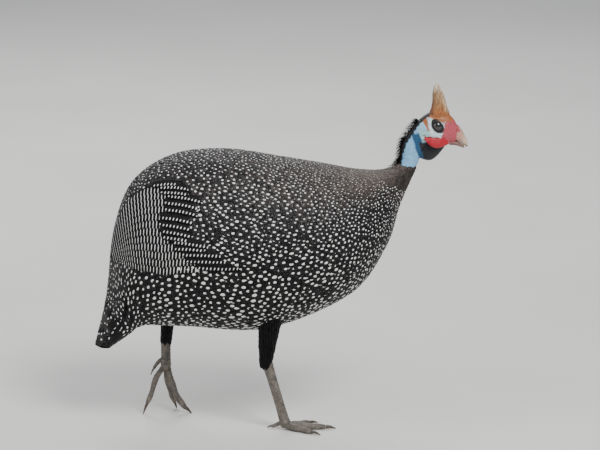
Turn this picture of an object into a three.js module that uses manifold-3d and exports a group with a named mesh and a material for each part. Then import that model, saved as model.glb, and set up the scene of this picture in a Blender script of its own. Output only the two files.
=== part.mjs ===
// Helmeted guinea fowl, a still life-size model, walking, head turned ahead.
// Millimetres, +X towards the bill, +Y the bird's left side, +Z up, floor at z = 0.
import * as THREE from "three";
import Module from "manifold-3d";

const wasm = await Module();
wasm.setup();

// Driving dimensions
const GAP = 0.3;
const SMALLEST_EDGE = 0.08;
const SMALLEST_AREA = 0.004;
const SAME_PLANE = 0.99999;
const NECK_TOP_HALF_WIDTH = 11;
const BODY_HALF_WIDTH = 87;
const EYE_RADIUS = 7;
const EYE_SPACE = [EYE_RADIUS + GAP + 0.1, EYE_RADIUS + GAP, EYE_RADIUS + GAP + 0.1];
const EYE_CENTRE = [183, 8.4, 355.8];
const HEAD_HALF_WIDTH = 13.2;
const CASQUE_TIP = [182, 0, 403];
const EAR = [167.5, 11.2, 344];
const EAR_CUP = [4.6, 1.8, 4];
const EAR_SIDES = [1, -1];
const TARSUS_RADIUS = 5.3;
const TARSUS_FLAT = 0.78;
const MIDDLE_TOE = 47;
const MIDDLE_TOE_RADIUS = 4.4;
const VANE_THICKNESS = 1.3;
const RIGHT_HOCK = [-15.5, -38, 85];
const RIGHT_FOOT = [6.6, -38, 8];
const LEFT_HOCK = [-134, 36, 136];
const LEFT_FOOT = [-134, 38, 58];
const ANKLE = [6, 5.6, 6.4];
const SOLE_PAD = [7, 5.5, 4.6];

// Trunk stations: back point x z, belly point x z, half width, from the nape to the tail root
const TRUNK = [
  [160, 360, 176, 336, NECK_TOP_HALF_WIDTH],
  [143, 334.5, 165, 322, 12],
  [138, 310.5, 160, 308, 14],
  [119.5, 301, 151, 288.5, 23],
  [89.5, 301, 139.5, 261, 40],
  [50, 308, 123, 210.5, 62],
  [1.5, 316, 81.5, 156, 79],
  [-60.5, 325, -13.5, 116, BODY_HALF_WIDTH],
  [-122, 319, -106, 118, 83],
  [-170, 287.5, -150.5, 119, 70],
  [-192, 233, -161, 117, 57],
  [-199.5, 169.5, -167, 114.5, 41],
  [-203.5, 139, -175, 107.5, 31],
  [-213, 96, -198, 91, 14],
];
const NECK_SPLIT = 1.95;
const NECK_BASE = 3.1;
const TAIL_SPLIT = 10.35;
const TRUNK_SIDES = 24;
const WING_INSET = 5;
const WING_FRONT = 5.1;
const WING_REAR = 10.2;

// Colours of the materials
const COLOURS = {
  plumage: [0x24262a, 0.8],
  neck_skin: [0x6fa6cf, 0.6],
  face_skin: [0xb5303a, 0.55],
  casque_horn: [0xb98a55, 0.5],
  bill_horn: [0xd9c3a0, 0.4],
  leg_scales: [0x55504a, 0.65],
  claw_horn: [0x3c352e, 0.4],
  eye: [0x1c0f0a, 0.1],
};

const group = new THREE.Group();
const toeSpaces = [];
let seed = 7;

// A repeatable draw between low and high
function draw(low, high) {
  seed = (seed * 16807) % 2147483647;
  return low + (high - low) * (seed / 2147483647);
}

function vec(p) {
  return new THREE.Vector3(p[0], p[1], p[2]);
}

function mirrored(p, side) {
  return [p[0], p[1] * side, p[2]];
}

// Closed body from rings of equal count, wound so that its faces point out
function loft(rings) {
  const count = rings[0].length;
  const points = rings.flat();
  const triangles = [];
  for (let i = 0; i + 1 < rings.length; i += 1) {
    for (let j = 0; j < count; j += 1) {
      const a = i * count + j;
      const b = i * count + ((j + 1) % count);
      triangles.push(a, b, b + count, a, b + count, a + count);
    }
  }
  const last = (rings.length - 1) * count;
  for (const [start, flip] of [[0, true], [last, false]]) {
    const centre = new THREE.Vector3();
    for (let j = 0; j < count; j += 1) {
      centre.addScaledVector(points[start + j], 1 / count);
    }
    points.push(centre);
    for (let j = 0; j < count; j += 1) {
      const a = start + j;
      const b = start + ((j + 1) % count);
      triangles.push(...(flip ? [b, a, points.length - 1] : [a, b, points.length - 1]));
    }
  }
  return solid(points, triangles);
}

function signedVolume(points, triangles) {
  let volume = 0;
  for (let i = 0; i < triangles.length; i += 3) {
    const [a, b, c] = [points[triangles[i]], points[triangles[i + 1]], points[triangles[i + 2]]];
    volume += a.dot(new THREE.Vector3().crossVectors(b, c));
  }
  return volume;
}

function solid(points, triangles) {
  if (signedVolume(points, triangles) < 0) {
    for (let i = 0; i < triangles.length; i += 3) {
      [triangles[i], triangles[i + 1]] = [triangles[i + 1], triangles[i]];
    }
  }
  const vertProperties = new Float32Array(points.flatMap((p) => [p.x, p.y, p.z]));
  const triVerts = new Uint32Array(triangles);
  return new wasm.Manifold(new wasm.Mesh({ numProp: 3, vertProperties, triVerts }));
}

function union(pieces) {
  return pieces.reduce((whole, piece) => whole.add(piece));
}

function faceNormal([a, b, c]) {
  return new THREE.Vector3().crossVectors(b.clone().sub(a), c.clone().sub(a));
}

// How little the faces turn when point b is moved onto a, as the cosine of the most turned one
function turnCosine(points, faces, a, b, smallest) {
  const cosines = faces.map((face) => {
    const before = faceNormal(face.map((i) => points[i]));
    const after = faceNormal(face.map((i) => points[i === b ? a : i]));
    return before.length() < smallest ? 1 : after.normalize().dot(before.normalize());
  });
  return Math.min(1, ...cosines);
}

// Closes the tiny edges that joins and cuts leave, and those inside a flat face or a straight
// crease, moving one end onto the other
function closeSpareEdges(points, faces) {
  const around = points.map(() => new Set());
  faces.forEach((face, f) => face.forEach((i) => around[i].add(f)));
  const beside = (i) => new Set([...around[i]].flatMap((f) => faces[f]));
  for (let f = 0; f < faces.length; f += 1) {
    for (let k = 0; k < 3 && faces[f]; k += 1) {
      const a = faces[f][k];
      const b = faces[f][(k + 1) % 3];
      const besideA = beside(a);
      const shared = [...beside(b)].filter((i) => i !== a && i !== b && besideA.has(i));
      const moved = [...around[b]].filter((g) => !faces[g].includes(a));
      const tiny = points[a].distanceTo(points[b]) < SMALLEST_EDGE;
      const turn = turnCosine(points, moved.map((g) => faces[g]), a, b, tiny ? SMALLEST_AREA : 0);
      if (shared.length === 2 && turn > (tiny ? 0 : SAME_PLANE)) {
        for (const g of [...around[b]].filter((h) => faces[h].includes(a))) {
          faces[g].forEach((i) => around[i].delete(g));
          faces[g] = null;
        }
        for (const g of moved) {
          faces[g] = faces[g].map((i) => (i === b ? a : i));
          around[a].add(g);
        }
        around[b].clear();
      }
    }
  }
  return faces.filter((face) => face);
}

// Names the body and puts it in the group, as its largest closed piece
function place(name, body, finish) {
  const parts = body.decompose();
  parts.sort((a, b) => b.volume() - a.volume());
  const cut = parts[0].getMesh();
  const points = Array.from({ length: cut.vertProperties.length / 3 },
    (_, i) => new THREE.Vector3().fromArray(cut.vertProperties, 3 * i));
  const faces = Array.from({ length: cut.triVerts.length / 3 },
    (_, i) => Array.from(cut.triVerts.slice(3 * i, 3 * i + 3)));
  const mesh = solid(points, closeSpareEdges(points, closeSpareEdges(points, faces)).flat()).getMesh();
  const geometry = new THREE.BufferGeometry();
  geometry.setAttribute("position", new THREE.BufferAttribute(mesh.vertProperties, 3));
  geometry.setIndex(new THREE.BufferAttribute(mesh.triVerts, 1));
  const [colour, roughness] = COLOURS[finish];
  const material = new THREE.MeshStandardMaterial({ color: colour, roughness, metalness: 0 });
  const piece = new THREE.Mesh(geometry, material);
  piece.name = name;
  group.add(piece);
}

// Smooth value of a list of rows at a fractional index
function rowAt(rows, s) {
  const i = Math.min(Math.max(Math.floor(s), 0), rows.length - 2);
  const t = s - i;
  const before = rows[Math.max(i - 1, 0)];
  const after = rows[Math.min(i + 2, rows.length - 1)];
  return rows[i].map((b, k) => {
    const c = rows[i + 1][k];
    const m0 = (c - before[k]) / 2;
    const m1 = (after[k] - b) / 2;
    const t2 = t * t;
    const t3 = t2 * t;
    return (2 * t3 - 3 * t2 + 1) * b + (t3 - 2 * t2 + t) * m0 + (3 * t2 - 2 * t3) * c + (t3 - t2) * m1;
  });
}

function smooth(low, high, x) {
  const t = Math.min(Math.max((x - low) / (high - low), 0), 1);
  return t * t * (3 - 2 * t);
}

// How far the trunk steps in under the folded wing, angle 0 on the back
function wingBed(s, angle) {
  const along = smooth(WING_FRONT - 0.5, WING_FRONT + 0.4, s) * (1 - smooth(WING_REAR - 0.2, WING_REAR + 0.5, s));
  const a = Math.abs(angle);
  return WING_INSET * along * smooth(0.1, 0.5, a) * (1 - smooth(1.75, 2.1, a));
}

// Point on the trunk at station s and angle (0 back, positive to the left), lifted by h
function trunkPoint(s, angle, h) {
  const [tx, tz, bx, bz, half] = rowAt(TRUNK, s);
  const up = new THREE.Vector3(tx - bx, 0, tz - bz).multiplyScalar(0.5);
  const length = up.length();
  const body = smooth(2, 5, s);
  const wide = half * (1 - 0.1 * body * Math.cos(angle));
  const point = new THREE.Vector3((tx + bx) / 2, 0, (tz + bz) / 2);
  point.addScaledVector(up, ((length + h) / length) * Math.cos(angle));
  point.y += (wide + h) * Math.sin(angle);
  return point;
}

function trunk(h, bedded) {
  const rings = [];
  for (let s = 0; s <= TRUNK.length - 1; s += 0.5) {
    const ring = [];
    for (let j = 0; j < TRUNK_SIDES; j += 1) {
      let angle = (j / TRUNK_SIDES) * 2 * Math.PI;
      angle = angle > Math.PI ? angle - 2 * Math.PI : angle;
      ring.push(trunkPoint(s, angle, h - (bedded ? wingBed(s, angle) : 0)));
    }
    rings.push(ring);
  }
  return loft(rings);
}

// Cut plane across the trunk at a station: unit normal towards the tail, and its offset
function stationPlane(s) {
  const [tx, tz, bx, bz] = rowAt(TRUNK, s);
  const normal = new THREE.Vector3(tz - bz, 0, -(tx - bx)).normalize();
  const ahead = rowAt(TRUNK, s + 0.1);
  const step = new THREE.Vector3(ahead[0] + ahead[2] - tx - bx, 0, ahead[1] + ahead[3] - tz - bz);
  if (normal.dot(step) < 0) {
    normal.negate();
  }
  return [normal, normal.x * tx + normal.z * tz];
}

function behind(body, s) {
  const [n, d] = stationPlane(s);
  return body.trimByPlane([n.x, n.y, n.z], d + GAP / 2);
}

function ahead(body, s) {
  const [n, d] = stationPlane(s);
  return body.trimByPlane([-n.x, -n.y, -n.z], -d + GAP / 2);
}

// Tapered limb through points with a radius at each, slightly oval when flat is under 1
function limb(points, radii, sides, steps, flat = 1) {
  const curve = new THREE.CatmullRomCurve3(points.map(vec), false, "centripetal");
  const rings = [];
  const side = new THREE.Vector3(0, 1, 0);
  for (let i = 0; i <= steps; i += 1) {
    const t = i / steps;
    const [radius] = rowAt(radii.map((r) => [r]), t * (radii.length - 1));
    const along = curve.getTangent(t);
    const across = new THREE.Vector3().crossVectors(along, side);
    if (across.lengthSq() < 0.01) {
      across.set(1, 0, 0);
    }
    across.normalize();
    const over = new THREE.Vector3().crossVectors(across, along).normalize();
    const centre = curve.getPoint(t);
    const ring = [];
    for (let j = 0; j < sides; j += 1) {
      const a = (j / sides) * 2 * Math.PI;
      const p = centre.clone().addScaledVector(across, radius * Math.cos(a));
      ring.push(p.addScaledVector(over, radius * flat * Math.sin(a)));
    }
    rings.push(ring);
  }
  return loft(rings);
}

// Flat tapered vane: centre points, lifts (unit), half widths, thicknesses and raised edge
function vane(centres, lifts, halves, thicks, tilt = 0) {
  const rings = centres.map((centre, i) => {
    const before = centres[Math.max(i - 1, 0)];
    const after = centres[Math.min(i + 1, centres.length - 1)];
    const along = after.clone().sub(before).normalize();
    const across = new THREE.Vector3().crossVectors(lifts[i], along).normalize();
    const up = lifts[i].clone().multiplyScalar(thicks[i] / 2);
    const at = (w, u) => centre.clone().addScaledVector(across, w * halves[i]).addScaledVector(up, u)
      .addScaledVector(lifts[i], w * tilt);
    return [at(-1, 0.1), at(0, 1.1), at(1, 0.1), at(1, -0.9), at(-1, -0.9)];
  });
  return loft(rings);
}

// Vane on the trunk from station and angle to station and angle, lifts in mm above the trunk
function trunkVane(from, to, half, liftRoot, liftTip, steps, tilt) {
  const centres = [];
  const lifts = [];
  const halves = [];
  const thicks = [];
  for (let i = 0; i <= steps; i += 1) {
    const t = i / steps;
    const s = from[0] + (to[0] - from[0]) * t;
    const angle = from[1] + (to[1] - from[1]) * t;
    const h = liftRoot + (liftTip - liftRoot) * t;
    const point = trunkPoint(s, angle, h);
    centres.push(point);
    lifts.push(trunkPoint(s, angle, h + 1).sub(point).normalize());
    halves.push(half * Math.min(1, 0.45 + 1.6 * t) * (t > 0.95 ? 0.35 : 1));
    thicks.push(VANE_THICKNESS * (1 - 0.4 * t));
  }
  return vane(centres, lifts, halves, thicks, tilt);
}

// Thin plate that hugs the trunk between two angles along a run of stations
function wingCore(side) {
  const columns = 8;
  const rows = 4;
  const outer = [];
  const inner = [];
  for (let i = 0; i <= columns; i += 1) {
    const s = WING_FRONT + ((WING_REAR - WING_FRONT) * i) / columns;
    const round = Math.sin((Math.PI * (i + 0.6)) / (columns + 1.2)) ** 0.35;
    const low = 1.62 * round;
    const high = 1.0 - 0.72 * smooth(0, 0.5, i / columns) * round;
    for (let j = 0; j <= rows; j += 1) {
      const angle = (high + ((low - high) * j) / rows) * side;
      outer.push(trunkPoint(s, angle, -1.2));
      inner.push(trunkPoint(s, angle, -WING_INSET - 3));
    }
  }
  const wide = rows + 1;
  const points = [...outer, ...inner];
  const under = outer.length;
  const triangles = [];
  for (let i = 0; i < columns; i += 1) {
    for (let j = 0; j < rows; j += 1) {
      const a = i * wide + j;
      triangles.push(a, a + wide, a + wide + 1, a, a + wide + 1, a + 1);
      const b = a + under;
      triangles.push(b, b + wide + 1, b + wide, b, b + 1, b + wide + 1);
    }
  }
  const rim = [];
  for (let j = 0; j < rows; j += 1) rim.push(j);
  for (let i = 0; i < columns; i += 1) rim.push(i * wide + rows);
  for (let j = rows; j > 0; j -= 1) rim.push(columns * wide + j);
  for (let i = columns; i > 0; i -= 1) rim.push(i * wide);
  rim.forEach((a, k) => {
    const b = rim[(k + 1) % rim.length];
    triangles.push(a, b, b + under, a, b + under, a + under);
  });
  return solid(points, triangles);
}

// Folded wing: flight feathers under two tiers of coverts on a thin core
function wing(side, bed) {
  const pieces = [wingCore(side)];
  const flights = 7;
  for (let i = 0; i < flights; i += 1) {
    const t = i / (flights - 1);
    const from = [8.1 - 1.1 * t, (0.42 + 1.05 * t) * side];
    const to = [10.75 - 0.5 * t + draw(-0.05, 0.05), (0.72 + 1.02 * t) * side];
    pieces.push(trunkVane(from, to, 10.5, -2.2, 1.6 - 0.9 * t, 4, 1.1 * side));
  }
  const coverts = 5;
  for (let tier = 0; tier < 2; tier += 1) {
    for (let i = 0; i < coverts; i += 1) {
      const t = i / (coverts - 1);
      const start = 7.3 - 1.15 * tier - 0.7 * t;
      const from = [start, (0.5 + 0.92 * t) * side];
      const to = [start + 1.55 + draw(-0.06, 0.06), (0.66 + 0.94 * t) * side];
      pieces.push(trunkVane(from, to, 12.5, -2, 2.4 + 0.3 * tier, 3, 1.1 * side));
    }
  }
  return union(pieces).subtract(bed);
}

// Tail: drooping flight feathers in an arch with shorter coverts over them, on a short core
function tail() {
  const pieces = [behind(trunk(-1.5, false), TAIL_SPLIT)];
  const tiers = [[9, 13.25, 2.5, 11], [5, 12.1, 3.4, 14]];
  for (const [count, end, lift, half] of tiers) {
    for (let i = 0; i < count; i += 1) {
      const t = (i / (count - 1)) * 2 - 1;
      const angle = t * 2.5;
      const tipS = Math.min(end - 0.75 * Math.abs(t) + draw(-0.08, 0.08), 13.2);
      pieces.push(trunkVane([10.55, angle], [tipS, angle * 0.94], half, -5, lift - 2, 4, 0.9 * Math.sign(t)));
    }
  }
  return behind(union(pieces), TAIL_SPLIT);
}

// Head: stations of crown point, throat point and half width, nape to bill root
const HEAD = [
  [157, 356, 165, 337, 10.2],
  [163.6, 363, 169, 334, 12],
  [173, 369.5, 176, 332, HEAD_HALF_WIDTH],
  [184.5, 371.5, 185, 331.5, HEAD_HALF_WIDTH],
  [194.5, 369, 193, 332.5, 11],
  [201.5, 362.5, 199, 333.5, 8.4],
  [205.5, 356, 204, 334, 6.4],
];

function headShape(h) {
  const rings = [];
  const steps = 14;
  const start = -0.12 - 0.12 * h;
  const end = HEAD.length - 0.9 + 0.26 * h;
  for (let i = 0; i <= steps; i += 1) {
    const [tx, tz, bx, bz, half] = rowAt(HEAD, start + ((end - start) * i) / steps);
    const up = new THREE.Vector3(tx - bx, 0, tz - bz).multiplyScalar(0.5);
    const grow = (up.length() + h) / up.length();
    const ring = [];
    for (let j = 0; j < 18; j += 1) {
      const a = (j / 18) * 2 * Math.PI;
      const p = new THREE.Vector3((tx + bx) / 2, 0, (tz + bz) / 2);
      p.addScaledVector(up, grow * Math.cos(a));
      p.y += (half * (1 - 0.12 * Math.cos(a)) + h) * Math.sin(a);
      ring.push(p);
    }
    rings.push(ring);
  }
  return loft(rings);
}

function ball(centre, radii, wide = 14, high = 9) {
  const rings = [];
  for (let i = 1; i < high; i += 1) {
    const polar = (i / high) * Math.PI;
    const ring = [];
    for (let j = 0; j < wide; j += 1) {
      const a = (j / wide) * 2 * Math.PI;
      const x = Math.cos(a) * Math.sin(polar);
      const z = Math.sin(a) * Math.sin(polar);
      ring.push(new THREE.Vector3(centre[0] + radii[0] * x, centre[1] + radii[1] * Math.cos(polar),
        centre[2] + radii[2] * z));
    }
    rings.push(ring);
  }
  return loft(rings);
}

// Half ring of skin round the eye or ear, a tapered limb along an arc
function arcFold(centre, radii, from, to, thick, bulge) {
  const points = [];
  for (let i = 0; i <= 6; i += 1) {
    const a = from + ((to - from) * i) / 6;
    const round = Math.sin((Math.PI * i) / 6);
    points.push([centre[0] + radii[0] * Math.cos(a), centre[1] + bulge * round, centre[2] + radii[1] * Math.sin(a)]);
  }
  return limb(points, [thick * 0.6, thick, thick * 0.6], 6, 6);
}

// Head with sunk eyes, two lids, an ear cup and the corner of the mouth on each side
function head() {
  let body = headShape(0);
  for (const side of [1, -1]) {
    const eye = mirrored(EYE_CENTRE, side);
    const out = (d) => [eye[0], eye[1] + d * side, eye[2]];
    body = body.add(arcFold(out(4.3), [6.7, 5.9], 0.15, Math.PI - 0.15, 1.3, 0.8 * side));
    body = body.add(arcFold(out(4.1), [6.6, 5.8], Math.PI + 0.15, 2 * Math.PI - 0.15, 1.1, 0.7 * side));
    const ear = mirrored(EAR, side);
    body = body.add(ball(ear, EAR_CUP, 12, 7));
    body = body.subtract(ball([ear[0], ear[1] + 2.1 * side, ear[2]], [2.5, 2.2, 2.1], 10, 7));
    body = body.subtract(ball(eye, EYE_SPACE, 14, 8));
    const corner = [[190, 13.5 * side, 336.6], [199, 9.5 * side, 336.4], [206, 7 * side, 335.6]];
    body = body.subtract(limb(corner, [0.4, 0.9, 0.9], 6, 4));
  }
  return body;
}

// Casque: a tall laterally flattened horn, base ring to blunt tip
function casqueShape(h) {
  const stations = [
    [172.5, 366, 200, 360, 8.8],
    [175.4, 374, 196.4, 371, 7.6],
    [176.8, 382, 193.4, 380, 6.2],
    [177, 390, 190.8, 389, 5],
    [177.8, 397, 187.8, 396.5, 3.8],
    [179.6, 401, 185.6, 401, 2.6],
    [181, CASQUE_TIP[2], 184, CASQUE_TIP[2], 1.2],
  ];
  const rings = [];
  for (let s = 0; s <= stations.length - 1; s += 0.5) {
    const [ax, az, bx, bz, half] = rowAt(stations, s);
    const ring = [];
    for (let j = 0; j < 14; j += 1) {
      const a = (j / 14) * 2 * Math.PI;
      const k = Math.cos(a);
      const x = (ax + bx) / 2 + (((bx - ax) / 2 + h) * k);
      ring.push(new THREE.Vector3(x, (half + h) * Math.sin(a) * (1 - 0.25 * k), (az + bz) / 2 + ((bz - az) / 2) * k));
    }
    rings.push(ring);
  }
  return loft(rings);
}

const BILL = [
  [199, 357, 200, 337.5, 6.6],
  [206.5, 355, 204, 336.6, 6.3],
  [211.3, 349.5, 208.5, 335.4, 5.3],
  [215, 343.5, 212, 333.2, 4.2],
  [217.4, 337.5, 215, 330.8, 2.9],
  [218.5, 331.5, 217.2, 328.6, 1],
];

// Upper bill with the fleshy cere, a nostril slit on each side and a hooked tip
function billUpper(cuts) {
  let body = stack(BILL, 14, 0.625);
  for (const side of [1, -1]) {
    const slit = [[202.5, 7.6 * side, 351], [206, 6.6 * side, 346.5]];
    body = body.subtract(limb(slit, [0.8, 1, 0.7], 6, 3));
    body = body.add(limb([[201.5, 5.6 * side, 353], [206.5, 5.6 * side, 351.3], [208.6, 4.9 * side, 347.5]],
      [0.9, 1.5, 0.9], 6, 5));
  }
  return body.subtract(cuts);
}

function billLower(cuts) {
  const line = [
    [196, 338, 197, 331.4, 6.2],
    [203, 338.2, 204, 331, 5.4],
    [209, 336, 209.5, 329.2, 4.2],
    [214.2, 331.6, 214.4, 327.6, 1.7],
  ];
  return stack(line, 12, 0.5).subtract(cuts).subtract(stack(BILL, 14, 0.625, GAP));
}

// Loft through rows of top x z, bottom x z and half width, grown by h
function stack(rows, sides, step, h = 0) {
  const rings = [];
  for (let s = 0; s <= rows.length - 1 + 1e-6; s += step) {
    const [tx, tz, bx, bz, half] = rowAt(rows, Math.min(s, rows.length - 1));
    const ring = [];
    for (let j = 0; j < sides; j += 1) {
      const a = (j / sides) * 2 * Math.PI;
      const k = (1 + Math.cos(a)) / 2;
      const z = bz + (tz - bz) * k + h * Math.cos(a);
      ring.push(new THREE.Vector3(bx + (tx - bx) * k, (half + h) * Math.sin(a), z));
    }
    rings.push(ring);
  }
  return loft(rings);
}

// Wattle: a flat lobe swept back from the mouth corner, with two folds
function wattle(side, cuts) {
  const rows = [
    [[196, 8.6, 336.5], 2.4, 1.5],
    [[189, 12.4, 336.2], 4.6, 2],
    [[181, 15.4, 336.4], 5.6, 2.2],
    [[174, 15.4, 338.6], 4.4, 1.9],
    [[168.6, 14.6, 341.2], 1.8, 1.2],
  ];
  const rings = rows.map(([c, high, thick]) => {
    const ring = [];
    for (let j = 0; j < 12; j += 1) {
      const a = (j / 12) * 2 * Math.PI;
      const fold = 0.35 * Math.cos(3 * a);
      const y = c[1] + (thick + fold) * Math.sin(a);
      ring.push(new THREE.Vector3(c[0], y * side, c[2] + high * Math.cos(a)));
    }
    return ring;
  });
  return loft(rings).subtract(cuts);
}

// Throat fold: a soft sagging pleat under the chin, joined to the neck
function throatFold(cuts) {
  const rows = [
    [165, 334, 163.5, 316.5, 4],
    [171, 334, 169, 313.6, 6],
    [177, 334, 176.5, 313.6, 6.5],
    [183, 334, 184, 319.5, 5.4],
    [189, 334.5, 190.5, 329, 3],
  ];
  return stack(rows, 14, 0.5).subtract(cuts);
}

// Short bristles in a thin line down the nape, rooted in the neck
function napeBristles() {
  const pieces = [];
  const count = 13;
  for (let i = 0; i < count; i += 1) {
    const s = 0.05 + (1.6 * i) / count;
    const root = trunkPoint(s, 0, -1.6);
    const out = trunkPoint(s, 0, 1).sub(root).normalize();
    const down = trunkPoint(s + 0.3, 0, 0).sub(trunkPoint(s, 0, 0)).normalize();
    const tip = root.clone().addScaledVector(out, 4.4 + draw(0, 1)).addScaledVector(down, 6 + draw(0, 2));
    const side = draw(-1, 1);
    const centres = [0, 0.5, 1].map((t) => root.clone().lerp(tip, t).add(new THREE.Vector3(0, side * t, 0)));
    const lift = new THREE.Vector3(0, 1, 0);
    pieces.push(vane(centres, [lift, lift, lift], [2.4, 1.8, 0.5], [1.6, 1, 0.6]));
  }
  return pieces;
}

// One toe: bends at its joints, with a pad under each, ends where its claw starts
function toe(points, thick) {
  return limb(points, toeRadii(thick), 8, 10, 1.05);
}

// The same limb grown by the gap, also past its ends
function limbSpace(points, radii, sides, steps, flat = 1) {
  const last = points.length - 1;
  const start = along(points[0], points[1], -GAP);
  const longer = [start, ...points.slice(1, last), along(points[last], points[last - 1], -GAP)];
  return limb(longer, radii.map((r) => r + GAP), sides, steps, flat);
}

function toeRadii(thick) {
  return [1, 0.86, 0.98, 0.78, 0.86, 0.62].map((k) => k * thick);
}

function claw(root, tip, sink, thick) {
  const middle = [(root[0] + tip[0]) / 2, (root[1] + tip[1]) / 2, (root[2] + tip[2]) / 2 + sink];
  return limb([root, middle, tip], [thick, thick * 0.75, thick * 0.28], 8, 5);
}

function along(from, to, distance) {
  const step = vec(to).sub(vec(from)).normalize().multiplyScalar(distance);
  return vec(from).add(step).toArray();
}

// A toe and its claw, with the gap between their end faces
function digit(name, points, thick, clawLength, drop) {
  const end = points[points.length - 1];
  const before = points[points.length - 2];
  const root = along(end, before, 1.5);
  const tip = along(end, before, -clawLength);
  tip[2] = drop;
  const space = limbSpace(points, toeRadii(thick), 8, 10, 1.05);
  toeSpaces.push(space);
  const horn = claw(root, tip, 1, thick * 0.56).subtract(space);
  place(`claw_${name}`, onFloor(horn), "claw_horn");
  return toe(points, thick);
}

function onFloor(body) {
  return body.trimByPlane([0, 0, 1], 0);
}

// Standing foot: three spread toes and a short raised hind toe
function rightFoot() {
  const [x, y] = RIGHT_FOOT;
  const toes = [];
  const spread = [["right_inner", 0.62, 0.74], ["right_middle", 0.02, 1], ["right_outer", -0.6, 0.8]];
  for (const [name, turn, scale] of spread) {
    const at = (d, z) => [x + Math.cos(turn) * d, y + Math.sin(turn) * d, z];
    const length = MIDDLE_TOE * scale;
    const points = [at(-1, 6), at(length * 0.3, 4.4), at(length * 0.65, 3.6), at(length, 3)];
    toes.push(digit(name, points, MIDDLE_TOE_RADIUS * (0.6 + 0.4 * scale), 12, 1.2));
  }
  toes.push(digit("right_hind", [[x - 1, y + 2, 10], [x - 8, y + 3, 6], [x - 15, y + 4, 2.6]], 2.7, 7, 1));
  toes.push(ball(RIGHT_FOOT, ANKLE));
  toes.push(ball([x + 1, y, 3.6], SOLE_PAD));
  return onFloor(union(toes));
}

// Trailing foot, heel raised, its toes hanging with their claws on the floor
function leftFoot() {
  const [x, y, z] = LEFT_FOOT;
  const toes = [
    digit("left_inner", [[x - 1, y - 2, z], [x - 11, y - 4, z - 14], [x - 17, y - 5, z - 33], [x - 22, y - 6, 13]],
      0.8 * MIDDLE_TOE_RADIUS, 13, -0.5),
    digit("left_middle", [[x + 1, y, z], [x + 6, y, z - 20], [x + 13, y - 1, z - 38], [x + 23, y - 2, 6]],
      MIDDLE_TOE_RADIUS, 12, -0.4),
    digit("left_outer", [[x, y + 2, z], [x + 1, y + 8, z - 18], [x + 5, y + 14, z - 36], [x + 9, y + 18, 9]],
      0.85 * MIDDLE_TOE_RADIUS, 11, -0.5),
    digit("left_hind", [[x - 3, y, z + 8], [x - 9, y + 1, z + 3], [x - 14, y + 2, z - 4]], 2.5, 7, z - 13),
    ball(LEFT_FOOT, ANKLE),
  ];
  return onFloor(union(toes));
}

// Straight scaled shank between two points, thicker at the joints
function shank(hock, foot) {
  return limb([hock, [(hock[0] + foot[0]) / 2, (hock[1] + foot[1]) / 2, (hock[2] + foot[2]) / 2], foot],
    [TARSUS_RADIUS + 1.3, TARSUS_RADIUS, TARSUS_RADIUS - 0.2, TARSUS_RADIUS + 0.6], 10, 12, TARSUS_FLAT);
}

function legs(torsoGrown) {
  const footR = rightFoot();
  place("foot_right", footR, "leg_scales");
  const footL = leftFoot();
  place("foot_left", footL, "leg_scales");
  const ends = [
    ["right", RIGHT_HOCK, RIGHT_FOOT, [[-8, -40, 137], [-13, -39, 112], RIGHT_HOCK], [16.5, 11.6, 7]],
    ["left", LEFT_HOCK, LEFT_FOOT, [[-126, 37, 142], [-131, 37.6, 115], [-133, 37.4, 96]], [12.5, 8.6, 7.3]],
  ];
  for (const [side, hock, foot, cuff, radii] of ends) {
    place(`thigh_${side}`, limb(cuff, radii, 14, 7).subtract(torsoGrown), "plumage");
    const ankle = ball(foot, ANKLE.map((r) => r + GAP));
    const top = side === "left" ? along(cuff[2], hock, 4) : hock;
    const clear = limbSpace(cuff, radii, 14, 7);
    const bone = toeSpaces.reduce((rest, space) => rest.subtract(space), shank(top, foot));
    place(`tarsus_${side}`, bone.subtract(clear).subtract(ankle), "leg_scales");
  }
}

// Builds every node; a neighbour is cut back by the gap wherever two would touch
function build() {
  const whole = trunk(0, true);
  const grown = trunk(1.5 * GAP, true);
  const necks = [ahead(whole, NECK_SPLIT), ahead(behind(whole, NECK_SPLIT), NECK_BASE)];
  place("torso", ahead(behind(whole, NECK_BASE), TAIL_SPLIT), "plumage");
  place("tail", tail(), "plumage");
  for (const [name, side] of [["wing_left", 1], ["wing_right", -1]]) {
    place(name, ahead(wing(side, grown), TAIL_SPLIT), "plumage");
  }
  const headGrown = headShape(2 * GAP);
  const ears = EAR_SIDES.map((side) => ball(mirrored(EAR, side), EAR_CUP.map((r) => r + 1.5 * GAP), 12, 7));
  const collar = union([necks[0], ...napeBristles()]).subtract(headGrown);
  place("neck_upper", ears.reduce((rest, ear) => rest.subtract(ear), collar), "neck_skin");
  place("neck_lower", necks[1], "plumage");
  const upper = billUpper(headGrown);
  place("casque", casqueShape(0).subtract(headGrown), "casque_horn");
  place("head", head(), "face_skin");
  place("bill_upper", upper, "bill_horn");
  place("bill_lower", billLower(headGrown), "bill_horn");
  const neckGrown = ahead(trunk(GAP, false), NECK_SPLIT);
  const flesh = headGrown.add(neckGrown);
  place("throat_fold", throatFold(flesh), "neck_skin");
  for (const [name, side] of [["left", 1], ["right", -1]]) {
    const eye = mirrored(EYE_CENTRE, side);
    place(`wattle_${name}`, wattle(side, headGrown), "face_skin");
    place(`eye_${name}`, ball(eye, [EYE_RADIUS, EYE_RADIUS, EYE_RADIUS], 14, 8), "eye");
  }
  legs(grown);
}

build();

export default group;
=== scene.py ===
# Helmeted guinea fowl, the looks: skin, feather vanes, white spots and bars, bare head and scaled
# legs. Metres, +X towards the bill, +Y the bird's left side, +Z up. Shapes are written in mm, which
# MM turns into metres.
import random
from math import cos, floor, hypot, pi, radians, sin, sqrt

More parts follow.
